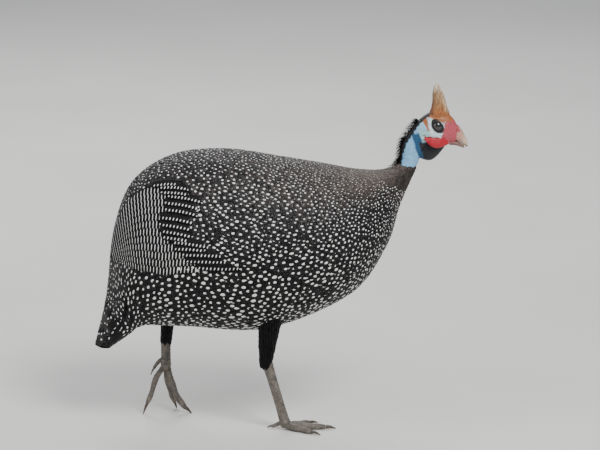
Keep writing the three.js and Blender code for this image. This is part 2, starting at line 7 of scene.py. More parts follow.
import bmesh
import bpy
import numpy as np
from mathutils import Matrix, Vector


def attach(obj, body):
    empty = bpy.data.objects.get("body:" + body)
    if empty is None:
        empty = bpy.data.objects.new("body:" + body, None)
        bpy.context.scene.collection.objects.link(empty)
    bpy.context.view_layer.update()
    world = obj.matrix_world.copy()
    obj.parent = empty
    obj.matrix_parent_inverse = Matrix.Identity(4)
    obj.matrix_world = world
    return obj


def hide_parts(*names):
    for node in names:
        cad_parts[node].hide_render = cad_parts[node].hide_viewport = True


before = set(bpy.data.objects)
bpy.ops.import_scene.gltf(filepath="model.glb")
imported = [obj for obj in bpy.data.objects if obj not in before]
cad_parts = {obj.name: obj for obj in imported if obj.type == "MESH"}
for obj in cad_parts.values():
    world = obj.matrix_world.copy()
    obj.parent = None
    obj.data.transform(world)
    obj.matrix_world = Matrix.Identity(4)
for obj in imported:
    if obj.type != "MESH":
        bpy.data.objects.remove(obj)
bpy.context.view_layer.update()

MM = 0.001
TURN = 2 * pi
rng = random.Random(11)

# The camera: one photo pixel is 1.163 mm at the bird, which is seen from 13 degrees above
PIXEL = 1.163 * MM
ELEVATION = radians(13)
DISTANCE = 6.0
FRAME_WIDTH_PX = 600
SENSOR = 36.0
AIM = (24.0 * MM, 0.0, 236.0 * MM)

# Trunk stations: back point x z, belly point x z, half width, from the nape to the tail root
TRUNK = [
    [160, 360, 176, 336, 11],
    [143, 334.5, 165, 322, 12],
    [138, 310.5, 160, 308, 14],
    [119.5, 301, 151, 288.5, 23],
    [89.5, 301, 139.5, 261, 40],
    [50, 308, 123, 210.5, 62],
    [1.5, 316, 81.5, 156, 79],
    [-60.5, 325, -13.5, 116, 87],
    [-122, 319, -106, 118, 83],
    [-170, 287.5, -150.5, 119, 70],
    [-192, 233, -161, 117, 57],
    [-199.5, 169.5, -167, 114.5, 41],
    [-203.5, 139, -175, 107.5, 31],
    [-213, 96, -198, 91, 14],
]
# Head stations: crown point, throat point, half width, from the nape to the bill root
HEAD = [
    [157, 356, 165, 337, 10.2],
    [163.6, 363, 169, 334, 12],
    [173, 369.5, 176, 332, 13.2],
    [184.5, 371.5, 185, 331.5, 13.2],
    [194.5, 369, 193, 332.5, 11],
    [201.5, 362.5, 199, 333.5, 8.4],
    [205.5, 356, 204, 334, 6.4],
]
EYE = (183.0, 8.4, 355.8)
EYE_RADIUS = 7.0
IRIS_RADIUS = 6.0
EAR = (167.5, 11.2, 344.0)

# Stations: where the skin of the trunk starts and ends, where feathers may root and how far they
# reach, and which stretch the spots and contour feathers are scattered over
SKIN_START = 1.7
SKIN_END = 13.0
ROOT_START = 1.75
WALK_END = 13.4
FEATHER_END = 13.35
AXES_END = 13.2
SCATTER_START = 2.1
SCATTER_END = 13.0
SPOTS_START = 3.3
# Depth of the coat over the skin, and lift of the folded wing from its front station on
COAT_DEPTH = 3.5
WING_FRONT = 5.1
WING_RISE = 2.5
# Folded wing: last station, feathers in each tier, angles of the first covert and of the tier,
# stations a covert spans, spacing of the bars in mm and how far they slant
FLIGHT_END = 10.45
FLIGHT_COUNT = 12
COVERT_COUNT = 15
COVERT_FIRST = 0.6
COVERT_SPREAD = 1.08
COVERT_SPAN = 0.72
COVERT_HALF_WIDTH = 6.2
BAR_START = 6.6
BAR_STEP = 4.2
BAR_SLANT = 0.8
# Half length of a bar as a share of the vane and half thickness in mm, on flights and on coverts
FLIGHT_BAR = (0.46, 0.5)
COVERT_BAR = (0.27, 0.75)
# White marks lie from under the vane's top face to a little over it, in mm, with so many sides
MARK_SINK = -0.15
MARK_RISE = 0.22
MARK_SIDES = 10
# Tries at a place for a feather, and how near two may come as a share of their spacing
SCATTER_TRIES = 190000
SCATTER_CELL = 8.0
SCATTER_LEAST = 0.83
BRISTLES = 420
# Side of a feather's own patch on the coat's map
PATCH = 0.003


# Row of smooth values at a fractional index of a list of rows
def row_at(rows, s):
    i = min(max(int(floor(s)), 0), len(rows) - 2)
    t = s - i
    before = rows[max(i - 1, 0)]
    after = rows[min(i + 2, len(rows) - 1)]
    h0 = 2 * t ** 3 - 3 * t ** 2 + 1
    h1 = t ** 3 - 2 * t ** 2 + t
    h2 = 3 * t ** 2 - 2 * t ** 3
    h3 = t ** 3 - t ** 2
    return [
        h0 * b + h1 * (c - a) / 2 + h2 * c + h3 * (d - b) / 2
        for a, b, c, d in zip(before, rows[i], rows[i + 1], after)
    ]


# Smooth value at a fractional index of a list of numbers
def value_at(values, s):
    return row_at([[value] for value in values], s)[0]


# Soft step from 0 at low to 1 at high
def smooth(low, high, x):
    t = min(max((x - low) / (high - low), 0.0), 1.0)
    return t * t * (3 - 2 * t)


# Point on the trunk, in mm, at a station and an angle (0 back, positive left), lifted by h
def trunk_point(s, angle, h=0.0):
    tx, tz, bx, bz, half = row_at(TRUNK, s)
    ux, uz = (tx - bx) / 2, (tz - bz) / 2
    length = hypot(ux, uz)
    c, d = cos(angle), sin(angle)
    wide = half * (1 - 0.1 * smooth(2, 5, s) * c)
    k = (length + h) / length * c
    return Vector(((tx + bx) / 2 + ux * k, (wide + h) * d, (tz + bz) / 2 + uz * k))


# At a place on the trunk: mm per station, mm per radian round it, and the direction outwards
def trunk_axes(s, angle):
    p = trunk_point(s, angle)
    ds = (trunk_point(s + 0.02, angle) - p) / 0.02
    da = (trunk_point(s, angle + 0.01) - p) / 0.01
    out = da.cross(ds).normalized()
    if out.dot(trunk_point(s, angle, 1.0) - p) < 0:
        out = -out
    return ds.length, da.length, out


# Lift of the coat over the trunk where the wing lies folded on it
def wing_lift(s, angle):
    a = abs(angle)
    low = 1.62 - 0.35 * (1 - smooth(WING_FRONT, WING_FRONT + 1.6, s))
    high = 0.95 - 0.62 * smooth(WING_FRONT, WING_FRONT + 2.2, s)
    inside = 1 - smooth(low - 0.04, low + 0.1, a)
    return inside * smooth(high - 0.15, high + 0.15, a) * smooth(WING_FRONT, WING_FRONT + 0.8, s)


def linear(channel):
    return channel / 12.92 if channel <= 0.04045 else ((channel + 0.055) / 1.055) ** 2.4


# sRGB hex to a linear colour
def colour(code):
    value = code.lstrip("#")
    return tuple(linear(int(value[i:i + 2], 16) / 255) for i in (0, 2, 4)) + (1.0,)


def shade_smooth(piece):
    piece.data.polygons.foreach_set("use_smooth", [True] * len(piece.data.polygons))


# A shown object from points in mm and faces, at the origin, smooth shaded
def make_piece(name, points, faces, material):
    mesh = bpy.data.meshes.new(name)
    mesh.from_pydata([tuple(c * MM for c in p) for p in points], [], faces)
    mesh.validate()
    mesh.update()
    mesh.materials.append(material)
    piece = bpy.data.objects.new(name, mesh)
    shade_smooth(piece)
    bpy.context.scene.collection.objects.link(piece)
    return piece


def select_only(piece):
    bpy.ops.object.select_all(action="DESELECT")
    piece.select_set(True)
    bpy.context.view_layer.objects.active = piece


def apply_modifier(piece, kind, **settings):
    select_only(piece)
    modifier = piece.modifiers.new(kind.title(), kind)
    for key, value in settings.items():
        setattr(modifier, key, value)
    bpy.ops.object.modifier_apply(modifier=modifier.name)


def recalculate_outward(piece):
    mesh = bmesh.new()
    mesh.from_mesh(piece.data)
    bmesh.ops.recalc_face_normals(mesh, faces=mesh.faces)
    mesh.to_mesh(piece.data)
    mesh.free()


# Angles that split a full turn evenly
def turns(count):
    return [TURN * j / count for j in range(count)]


# Point on the other side of the middle plane where side is -1
def mirrored(point, side):
    return (point[0], point[1] * side, point[2])


# Closed rings of equal count joined into one closed body
def loft(rings, points, faces):
    start = len(points)
    count = len(rings[0])
    for ring in rings:
        points.extend(ring)
    for i in range(len(rings) - 1):
        for j in range(count):
            a = start + i * count + j
            b = start + i * count + (j + 1) % count
            faces.append((a, b, b + count, a + count))
    faces.append(tuple(start + j for j in reversed(range(count))))
    last = start + (len(rings) - 1) * count
    faces.append(tuple(last + j for j in range(count)))


# Piece of closed bodies, each a list of rings
def closed_piece(name, bodies, material):
    points = []
    faces = []
    for rings in bodies:
        loft(rings, points, faces)
    piece = make_piece(name, points, faces, material)
    recalculate_outward(piece)
    return piece


# Limb rings along smooth points with a radius rule r(t, angle), in mm
def limb_rings(line, radius, sides, steps, flat=1.0):
    rings = []
    last = len(line) - 1
    for i in range(steps + 1):
        t = i / steps
        here = Vector(row_at(line, t * last))
        near = Vector(row_at(line, min(t * last + 0.02, last)))
        back = Vector(row_at(line, max(t * last - 0.02, 0)))
        along = (near - back).normalized()
        across = along.cross(Vector((0, 1, 0)))
        if across.length < 0.1:
            across = Vector((1, 0, 0))
        across.normalize()
        over = across.cross(along).normalized()
        ring = []
        for a in turns(sides):
            r = radius(t, a)
            ring.append(here + across * (r * cos(a)) + over * (r * flat * sin(a)))
        rings.append(ring)
    return rings


# Node of a material; a setting that starts with in_ is the value of that input socket
def add_node(tree, kind, links=None, **settings):
    node = tree.nodes.new(kind)
    for key, value in settings.items():
        if key.startswith("in_"):
            name = key[3:].replace("_", " ")
            socket = node.inputs[int(name)] if name.isdigit() else node.inputs[name]
            socket.default_value = value
        else:
            setattr(node, key, value)
    for socket, source in (links or {}).items():
        tree.links.new(source, node.inputs[socket])
    return node


def new_material(name, rough, **surface):
    material = bpy.data.materials.new(name)
    material.use_nodes = True
    tree = material.node_tree
    bsdf = tree.nodes["Principled BSDF"]
    bsdf.inputs["Roughness"].default_value = rough
    for key, value in surface.items():
        bsdf.inputs[key.replace("_", " ")].default_value = value
    coordinates = add_node(tree, "ShaderNodeTexCoord").outputs["Object"]
    return material, tree, bsdf, coordinates


def attribute(tree, name, output="Fac"):
    return add_node(tree, "ShaderNodeAttribute", attribute_name=name).outputs[output]


# Coordinates with each axis scaled, for streaks, and moved
def stretched(tree, where, scale, location=(0.0, 0.0, 0.0)):
    node = add_node(tree, "ShaderNodeMapping", {"Vector": where},
                    in_Scale=scale, in_Location=location)
    return node.outputs[0]


def math_node(tree, links, operation, **settings):
    return add_node(tree, "ShaderNodeMath", links, operation=operation, **settings).outputs[0]


def ramp(tree, source, stops):
    node = add_node(tree, "ShaderNodeValToRGB", {"Fac": source})
    elements = node.color_ramp.elements
    while len(elements) < len(stops):
        elements.new(0.5)
    for element, (place, shade) in zip(elements, stops):
        element.position = place
        element.color = colour(shade)
    return node.outputs["Color"]


def mix(tree, fac, a, b, blend="MIX"):
    node = add_node(tree, "ShaderNodeMix", data_type="RGBA", blend_type=blend)
    for index, value in ((0, fac), (6, a), (7, b)):
        if isinstance(value, bpy.types.NodeSocket):
            tree.links.new(value, node.inputs[index])
        else:
            node.inputs[index].default_value = value
    return node.outputs[2]


def noise(tree, coordinates, size_mm, detail=3.0, rough=0.5):
    node = add_node(tree, "ShaderNodeTexNoise", {"Vector": coordinates},
                    in_Scale=1.0 / (size_mm * MM), in_Detail=detail, in_Roughness=rough)
    return node.outputs["Fac"]


def bump(tree, bsdf, height, strength, depth_mm):
    node = add_node(tree, "ShaderNodeBump", {"Height": height},
                    in_Strength=strength, in_Distance=depth_mm * MM)
    tree.links.new(node.outputs["Normal"], bsdf.inputs["Normal"])


# Keratin feather vanes: from black through slate to grey brown by the attribute tone, with fine
# grey flecks that the attribute fleck turns up
def feather_material():
    material, tree, bsdf, where = new_material("feather_keratin", 0.6, Specular_IOR_Level=0.14)
    tone = attribute(tree, "tone")
    fleck = attribute(tree, "fleck")
    base = ramp(tree, tone, [(0.0, "#020202"), (0.5, "#141417"), (1.0, "#554b45")])
    grain = noise(tree, where, 1.1, 2.0, 0.6)
    specks = ramp(tree, grain, [(0.53, "#000000"), (0.6, "#ffffff")])
    amount = math_node(tree, {0: specks, 1: fleck}, "MULTIPLY")
    shade = mix(tree, amount, base, colour("#7d7a77"))
    tree.links.new(shade, bsdf.inputs["Base Color"])
    bump(tree, bsdf, noise(tree, where, 0.5, 2.0), 0.3, 0.3)
    return material


# White keratin of the spots and bars, chalky and mottled a little with grey
def white_material():
    material, tree, bsdf, where = new_material("white_feather_keratin", 0.7)
    shade = ramp(tree, noise(tree, where, 3.0), [(0.3, "#d9d8d6"), (0.7, "#f4f3f0")])
    tree.links.new(shade, bsdf.inputs["Base Color"])
    return material


PORE = 0.9


# Living skin, thin and faintly wet: colour from the painted attribute, with fine pores
def skin_material():
    material, tree, bsdf, where = new_material(
        "bare_skin", 0.48, Subsurface_Weight=0.12, Subsurface_Scale=0.002)
    bsdf.inputs["Subsurface Radius"].default_value = (1.0, 0.3, 0.2)
    paint = attribute(tree, "paint", "Color")
    mottle = ramp(tree, noise(tree, where, 2.2, 4.0), [(0.3, "#c9c9c9"), (0.7, "#ffffff")])
    tree.links.new(mix(tree, 0.8, paint, mottle, "MULTIPLY"), bsdf.inputs["Base Color"])
    pores = add_node(tree, "ShaderNodeTexVoronoi", {"Vector": where}, in_Scale=1.0 / (PORE * MM))
    bump(tree, bsdf, pores.outputs["Distance"], 0.45, 0.35)
    return material


# Horn of the casque: colour from the painted attribute, with brown streaks that run up
def casque_material():
    material, tree, bsdf, where = new_material("casque_horn", 0.55)
    paint = attribute(tree, "paint", "Color")
    streak = noise(tree, stretched(tree, where, (1.0, 1.0, 0.35)), 1.8, 5.0, 0.65)
    dark = ramp(tree, streak, [(0.35, "#7d5636"), (0.6, "#ffffff")])
    tree.links.new(mix(tree, 0.75, paint, dark, "MULTIPLY"), bsdf.inputs["Base Color"])
    bump(tree, bsdf, streak, 0.6, 0.5)
    return material


# Polished dark horn of the claws, streaked along
def claw_material():
    material, tree, bsdf, where = new_material("claw_horn", 0.4)
    streak = noise(tree, stretched(tree, where, (0.4, 1.0, 1.0)), 1.5, 3.0)
    shade = ramp(tree, streak, [(0.3, "#2b241d"), (0.7, "#5d5044")])
    tree.links.new(shade, bsdf.inputs["Base Color"])
    bump(tree, bsdf, streak, 0.25, 0.2)
    return material


# Horn of the bill: colour from the painted attribute, with faint streaks
def bill_material():
    material, tree, bsdf, where = new_material("bill_horn", 0.38)
    paint = attribute(tree, "paint", "Color")
    streak = ramp(tree, noise(tree, where, 1.6, 3.0), [(0.3, "#d0c8c0"), (0.7, "#ffffff")])
    tree.links.new(mix(tree, 0.7, paint, streak, "MULTIPLY"), bsdf.inputs["Base Color"])
    bump(tree, bsdf, noise(tree, where, 0.8, 2.0), 0.25, 0.2)
    return material


# Scutes of shank and toes: dry keratin plates, grey brown, with a net of fine dark lines
def scute_material():
    material, tree, bsdf, where = new_material("leg_scutes", 0.6)
    cells = add_node(tree, "ShaderNodeTexVoronoi", {"Vector": where}, in_Scale=1.0 / (2.0 * MM))
    cells.feature = "DISTANCE_TO_EDGE"
    edge = ramp(tree, cells.outputs["Distance"], [(0.0, "#262321"), (0.12, "#ffffff")])
    tone = ramp(tree, noise(tree, where, 6.0, 4.0), [(0.3, "#4a4540"), (0.7, "#847b70")])
    tree.links.new(mix(tree, 0.75, tone, edge, "MULTIPLY"), bsdf.inputs["Base Color"])
    bump(tree, bsdf, cells.outputs["Distance"], 0.5, 0.4)
    return material


# Wet eye: near black pupil, dark brown iris ring, glossy all over
def eye_material():
    material, tree, bsdf, where = new_material(
        "wet_eye", 0.04, Coat_Weight=1.0, Coat_Roughness=0.02)
    middle = (-EYE[0] * MM, 0.0, -EYE[2] * MM)
    flat = stretched(tree, where, (1.0, 0.0, 1.0), middle)
    length = add_node(tree, "ShaderNodeVectorMath", {0: flat}, operation="LENGTH").outputs["Value"]
    scaled = math_node(tree, {0: length}, "MULTIPLY", in_1=1.0 / (IRIS_RADIUS * MM))
    stops = [(0.5, "#020202"), (0.58, "#160a07"), (0.8, "#1c0e09"), (0.95, "#060404")]
    shade = ramp(tree, scaled, stops)
    tree.links.new(shade, bsdf.inputs["Base Color"])
    return material


def floor_material():
    material, tree, bsdf, where = new_material("pale_floor", 0.85)
    shade = ramp(tree, noise(tree, where, 400.0), [(0.3, "#dcdad6"), (0.7, "#e4e2de")])
    tree.links.new(shade, bsdf.inputs["Base Color"])
    return material


MATERIALS = {
    "feather": feather_material(),
    "white": white_material(),
    "skin": skin_material(),
    "casque": casque_material(),
    "bill": bill_material(),
    "claw": claw_material(),
    "scute": scute_material(),
    "eye": eye_material(),
    "floor": floor_material(),
}


# A coat piece under way: points, faces, and for every point its tone, fleck and coat map place
class Coat:
    def __init__(self):
        self.points = []
        self.faces = []
        self.tone = []
        self.fleck = []
        self.place = []

    def add_ring_body(self, rings, tone, fleck, place):
        before = len(self.points)
        loft(rings, self.points, self.faces)
        added = len(self.points) - before
        count = len(rings[0])
        for i in range(added):
            u = place[0] + PATCH * (i // count) / max(len(rings) - 1, 1)
            v = place[1] + PATCH * (i % count) / count
            self.place.append((u, v))
        self.tone.extend([tone] * added)
        self.fleck.extend([fleck] * added)

    def finish(self, name, material):
        piece = make_piece(name, self.points, self.faces, material)
        mesh = piece.data
        for key, values in (("tone", self.tone), ("fleck", self.fleck)):
            mesh.attributes.new(key, "FLOAT", "POINT").data.foreach_set("value", values)
        layer = mesh.uv_layers.new(name="OFBake")
        corners = np.empty(len(mesh.loops), dtype=np.int32)
        mesh.loops.foreach_get("vertex_index", corners)
        layer.data.foreach_set("uv", np.array(self.place)[corners].ravel())
        recalculate_outward(piece)
        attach(piece, "root")


# Root's place on the coat map, by station and angle
def coat_place(s, angle):
    return (0.05 + 0.9 * s / len(TRUNK), 0.05 + 0.9 * (angle / TURN + 0.5))


# Station reached from s after so many mm along the lie, towards the tail, or back if under zero
def walk(s, angle, distance):
    step = 0.1 if distance > 0 else -0.1
    left = abs(distance)
    here = trunk_point(s, angle)
    while left > 0 and ROOT_START < s + step < WALK_END:
        ahead = trunk_point(s + step, angle)
        left -= (ahead - here).length
        here = ahead
        s += step
    return s


# Shape of one feather laid on the trunk between two stations: length, width and lift at root and
# tip in mm, turn off the lie, crown across it, and rise where the folded wing lifts it
class Feather:
    def __init__(self, start, end, angle, length, width, root, tip,
                 turn=0.0, crown=0.5, side_tilt=0.0, rise=WING_RISE):
        self.start = start
        self.end = end
        self.angle = angle
        self.length = length
        self.width = width
        self.root = root
        self.tip = tip
        self.turn = turn
        self.crown = crown
        self.side_tilt = side_tilt
        self.rise = rise
        self.per_a = trunk_axes(start, angle)[1]
        self.per_a_end = trunk_axes(min(end, AXES_END), angle)[1]

    # Point at v along (0 root, 1 tip) and u across (-1 to 1), lifted by h over the top face
    def at(self, u, v, h=0.0):
        across = u * self.half(v) + self.turn * self.length * v
        per_a = self.per_a + (self.per_a_end - self.per_a) * v
        s = min(self.start + (self.end - self.start) * v, FEATHER_END)
        angle = self.angle + across / per_a
        lift = self.root + (self.tip - self.root) * (v ** 0.8)
        lift += self.crown * (1 - u * u) + self.side_tilt * u + h
        return trunk_point(s, angle, lift + self.rise * wing_lift(s, angle))

    def half(self, v):
        if v < 0.55:
            return self.width / 2 * (0.45 + 0.55 * smooth(0.0, 0.5, v))
        return self.width / 2 * sqrt(max(0.0, 1 - ((v - 0.55) / 0.47) ** 2))

    # Closed rings of the vane: five points over its top face, two under it
    def rings(self, stations, thick=0.35):
        rings = []
        for v in stations:
            ring = [self.at(u, v) for u in (-1.0, -0.5, 0.0, 0.5, 1.0)]
            ring.extend(self.at(u, v, -thick) for u in (0.6, -0.6))
            rings.append(ring)
        return rings


# Where the rings of short and of long feathers stand, from root to tip
SMALL_STATIONS = (0.0, 0.4, 0.7, 0.9, 1.0)
LONG_STATIONS = (0.0, 0.12, 0.25, 0.38, 0.5, 0.62, 0.74, 0.85, 0.94, 1.0)


# White spot: a thin oval disc lying on a feather at u, v
def add_spot(coat, feather, u, v, wide, long, place):
    half = max(feather.half(v), 0.5)
    base = []
    top = []
    for a in turns(MARK_SIDES):
        du = wide / 2 * cos(a)
        dv = long / 2 * sin(a) / feather.length
        base.append(feather.at(u + du / half, v + dv, MARK_SINK))
        top.append(feather.at(u + 0.8 * du / half, v + 0.8 * dv, MARK_RISE))
    coat.add_ring_body([base, top], 0.5, 0.0, place)


# Tone and grey fleck of the coat by place: grey brown on the neck, slate on the back, black below
def coat_tone(s, angle):
    low = smooth(0.9, 1.8, abs(angle))
    neck = 1 - smooth(3.2, 5.4, s)
    shoulder = (1 - smooth(5.0, 7.6, s)) * (1 - 0.6 * low)
    tone = 0.5 - 0.3 * low + 0.38 * neck + 0.18 * shoulder + rng.uniform(-0.1, 0.1)
    fleck = (0.5 - 0.3 * low + 0.35 * shoulder) * (1 - 0.6 * neck) * rng.uniform(0.6, 1.1)
    return min(max(tone, 0.0), 1.0), min(max(fleck, 0.0), 1.0)


# Mean spacing of the white spots in mm: fine on neck and back, widest on the flank
def spot_pitch(s, angle):
    a = abs(angle)
    wide = 4.5 + 1.2 * smooth(0.3, 0.8, a) + 1.4 * smooth(1.5, 1.85, a)
    return 3.1 + (wide - 3.1) * smooth(3.2, 8.0, s)


# Width of a white spot in mm
def spot_size(s, angle):
    a = abs(angle)
    wide = 1.5 + 1.15 * smooth(0.25, 0.95, a) + 1.0 * smooth(1.45, 1.85, a)
    small = 0.7 + 0.5 * smooth(0.6, 1.8, a)
    return small + (wide - small) * smooth(3.4, 7.4, s)


# Value on straight lines between stops (place, value)
def between(stops, x):
    x = min(max(x, stops[0][0]), stops[-1][0])
    for (x0, y0), (x1, y1) in zip(stops, stops[1:]):
        if x <= x1:
            return y0 + (y1 - y0) * (x - x0) / (x1 - x0)
    return stops[-1][1]


# The folded wing: where its flight feathers come out from under the coverts, by angle, and its
# upper and lower edge, by station
FLIGHT_FRONT = [
    (0.6, 8.3), (0.77, 8.12), (0.95, 8.05), (1.1, 8.2),
    (1.25, 8.2), (1.4, 8.08), (1.55, 7.8), (1.73, 7.5),
]
FLIGHT_TOP = [(7.0, 0.75), (8.28, 0.64), (8.7, 0.55), (9.36, 0.45), (10.5, 0.36)]
FLIGHT_BOTTOM = [
    (7.0, 1.73), (8.36, 1.73), (9.06, 1.57), (9.64, 1.32), (10.28, 0.82), (10.5, 0.66),
]


# Station at which the coverts start, by angle
def covert_front(a):
    return between(FLIGHT_FRONT, a) - 0.42 + 0.2 * smooth(1.4, 1.75, a)


# Whether a place on the trunk is covered by the feathers of the folded wing
def under_wing_feathers(s, angle):
    a = abs(angle)
    if s > FLIGHT_END or s < covert_front(a):
        return False
    return between(FLIGHT_TOP, s) < a < between(FLIGHT_BOTTOM, s) - 0.03


# Scattered places on the trunk no nearer to each other than the spacing asks for
def scatter(first, last):
    taken = {}
    places = []
    for _ in range(SCATTER_TRIES):
        s = rng.uniform(first, last)
        angle = rng.uniform(-pi, pi)
        least = SCATTER_LEAST * spot_pitch(s, angle)
        p = trunk_point(s, angle)
        key = tuple(int(c // SCATTER_CELL) for c in p)
        near = (
            q for i in (-1, 0, 1) for j in (-1, 0, 1) for k in (-1, 0, 1)
            for q in taken.get((key[0] + i, key[1] + j, key[2] + k), ())
        )
        if all((q - p).length > least for q in near):
            taken.setdefault(key, []).append(p)
            places.append((s, angle))
    return places


# Piece of the coat that a feather belongs to
def coat_part(s, angle):
    if s < 4.6:
        return "front"
    if abs(angle) < 0.7:
        return "back"
    if abs(angle) > 2.3:
        return "belly"
    return "left" if angle > 0 else "right"


# Body coat: contour feathers all over the trunk, most with one white spot near the tip
def body_coat():
    parts = ("front", "back", "belly", "left", "right")
    coats = {key: Coat() for key in parts}
    spots = {key: Coat() for key in parts}
    for s, angle in scatter(SCATTER_START, SCATTER_END):
        key = coat_part(s, angle)
        body_feather(coats[key], spots[key], s, angle)
    return coats, spots


def body_feather(coat, spots, s, angle):
    pitch = spot_pitch(s, angle)
    hidden = under_wing_feathers(s, angle)
    tone, fleck = coat_tone(s, angle)
    length = 3.0 * pitch + 5.0
    start = max(walk(s, angle, -0.78 * length), ROOT_START + rng.uniform(0.0, 0.3))
    end = walk(s, angle, 0.22 * length)
    width = (1.6 + 0.9 * smooth(2.4, 4.0, s)) * pitch
    feather = Feather(
        start, end, angle, length, width, root=-2.2, tip=0.5 + rng.uniform(0.0, 0.3),
        turn=rng.uniform(-0.03, 0.03), rise=0.0 if hidden else WING_RISE)
    place = coat_place(s, angle)
    coat.add_ring_body(feather.rings(SMALL_STATIONS), tone, fleck, place)
    if s > SPOTS_START and not hidden and rng.random() > smooth(12.0, 13.2, s):
        size = spot_size(s, angle) * rng.uniform(0.75, 1.2)
        add_spot(spots, feather, 0.0, 0.78, size, size * rng.uniform(0.95, 1.3), place)


# Feather of the folded wing: its middle line runs along course(s), an angle, from start to end
class WingFeather(Feather):
    def __init__(self, side, course, start, end, half_width, tip):
        self.side = side
        self.course = course
        self.start = start
        self.end = end
        self.half_width = half_width
        self.tip = tip
        self.length = (end - start) * trunk_axes(0.5 * (start + end), course(end) * side)[0]

    def half(self, v):
        s = self.start + (self.end - self.start) * v
        taper = sqrt(max(0.0, 1 - (max(v - 0.88, 0.0) / 0.14) ** 2))
        return self.half_width(s) * taper

    # u runs from the upper edge (-1) to the lower edge (1), which lies over the next feather
    def at(self, u, v, h=0.0):
        s = self.start + (self.end - self.start) * min(v, 1.0)
        middle = self.course(s)
        per_a = trunk_axes(s, middle)[1]
        angle = (middle + u * self.half(v) / per_a) * self.side
        lift = -0.4 + (self.tip + 0.4) * smooth(0.0, 0.5, v) + 0.4 * (1 - u * u)
        lift += 0.7 * u + h
        return trunk_point(s, angle, lift + WING_RISE * wing_lift(s, angle))


# Stations of the white bars, shared by all feathers of the wing so that bars line up across them
def bar_stations():
    stations = []
    s = BAR_START
    while s < FLIGHT_END:
        stations.append(s)
        s += BAR_STEP / trunk_axes(s, 1.5)[0]
    return stations


BAR_STATIONS = bar_stations()


# Long feather of the wing with bars where it is past the station bare(s)
def add_wing_feather(coat, marks, feather, bare, size, place):
    reach, thick = size
    tone = 0.2 + rng.uniform(-0.06, 0.06)
    coat.add_ring_body(feather.rings(LONG_STATIONS, 0.5), tone, 0.08, place)
    for s in BAR_STATIONS:
        v = (s - feather.start) / (feather.end - feather.start)
        if s > bare(s) and v < 0.98:
            bar(marks, feather, v, reach * rng.uniform(0.9, 1.1), thick, place)


# Folded wing: barred flight feathers that lie like clapboards, upper over lower, under a tier of
# greater coverts with short bars
def wing_coat(side):
    coat = Coat()
    marks = Coat()
    for i in range(FLIGHT_COUNT):
        t = (i + 0.4) / FLIGHT_COUNT

        def course(s, t=t):
            top = between(FLIGHT_TOP, s)
            return top + (between(FLIGHT_BOTTOM, s) - top) * t

        # Wide enough to overlap the next feather
        def half_width(s):
            span = between(FLIGHT_BOTTOM, s) - between(FLIGHT_TOP, s)
            return 1.15 * span * trunk_axes(s, 1.2)[1] / FLIGHT_COUNT

        def bare(s, course=course):
            return between(FLIGHT_FRONT, course(s))

        start = between(FLIGHT_FRONT, course(8.0)) - 0.5
        feather = WingFeather(side, course, start, FLIGHT_END - 0.1 * t, half_width, 0.9)
        place = coat_place(start, course(start) * side)
        add_wing_feather(coat, marks, feather, bare, FLIGHT_BAR, place)
    for i in range(COVERT_COUNT):
        angle = COVERT_FIRST + COVERT_SPREAD * i / (COVERT_COUNT - 1)
        end = between(FLIGHT_FRONT, angle) + 0.12 + rng.uniform(-0.1, 0.1)
        start = end - COVERT_SPAN

        def course(s, angle=angle, end=end):
            return angle + 0.2 * (end - s) * (1 - smooth(1.2, 1.6, angle))

        def bare(s, start=start):
            return start + 0.08

        feather = WingFeather(side, course, start, end, lambda s: COVERT_HALF_WIDTH, 1.5)
        add_wing_feather(coat, marks, feather, bare, COVERT_BAR, coat_place(start, angle * side))
    return coat, marks


# White bar across a feather: a thin long disc, slanted a little
def bar(marks, feather, v, reach, thick, place):
    base = []
    top = []
    for a in turns(MARK_SIDES):
        u = 0.5 + reach * cos(a)
        dv = (thick * sin(a) + BAR_SLANT * cos(a)) / feather.length
        base.append(feather.at(u, v + dv, MARK_SINK))
        top.append(feather.at(0.5 + 0.95 * (u - 0.5), v + 0.85 * dv, MARK_RISE))
    marks.add_ring_body([base, top], 0.5, 0.0, place)


# Tail: a tier of long overlapping feathers that droop, and one of shorter coverts over it, each as
# count, root's station, length, lift of the tip and width
TAIL_TIERS = ((15, 10.5, 118, 0.2, 20), (13, 10.3, 74, 0.6, 22))
TAIL_ANGLE = 2.45


def tail_coat():
    coat = Coat()
    for count, start, length, tip, width in TAIL_TIERS:
        for i in range(count):
            t = 2 * i / (count - 1) - 1
            angle = TAIL_ANGLE * t
            reach = length * (1 - 0.22 * abs(t))
            feather = Feather(
                start, walk(start, angle, reach), angle, reach, width, root=-2.0, tip=tip,
                crown=0.8, side_tilt=0.7 if t > 0 else -0.7)
            tone = 0.2 + rng.uniform(-0.1, 0.1)
            place = coat_place(start, angle)
            coat.add_ring_body(feather.rings(LONG_STATIONS, 0.5), tone, 0.05, place)
    return coat


TRUNK_STEPS = 150
TRUNK_SIDES = 96
BODY_VOXEL = 2.6
HEAD_VOXEL = 0.55
# Thighs from hip to shank, right then left: middle line, radii down it, and rows of feathers
THIGH_SKINS = (
    (((-8, -40, 150), (-13, -39, 112), (-15.5, -38, 86)), (14, 9.6, 5.8)),
    (((-126, 37, 150), (-131, 37.6, 115), (-133, 37.4, 97)), (9.0, 7.0, 5.8)),
)
THIGH_COATS = (
    (((-8, -40, 150), (-13, -39, 112), (-15.5, -38, 84)), (14.5, 10.4, 6.6), 15),
    (((-126, 37, 150), (-131, 37.6, 115), (-133, 37.4, 95)), (9.5, 7.6, 6.6), 12),
)


# Rings of the trunk's skin, under the depth of the coat
def trunk_skin_rings():
    rings = []
    for i in range(TRUNK_STEPS + 1):
        s = SKIN_START + (SKIN_END - SKIN_START) * i / TRUNK_STEPS
        rings.append([trunk_point(s, a, -COAT_DEPTH) for a in turns(TRUNK_SIDES)])
    return rings


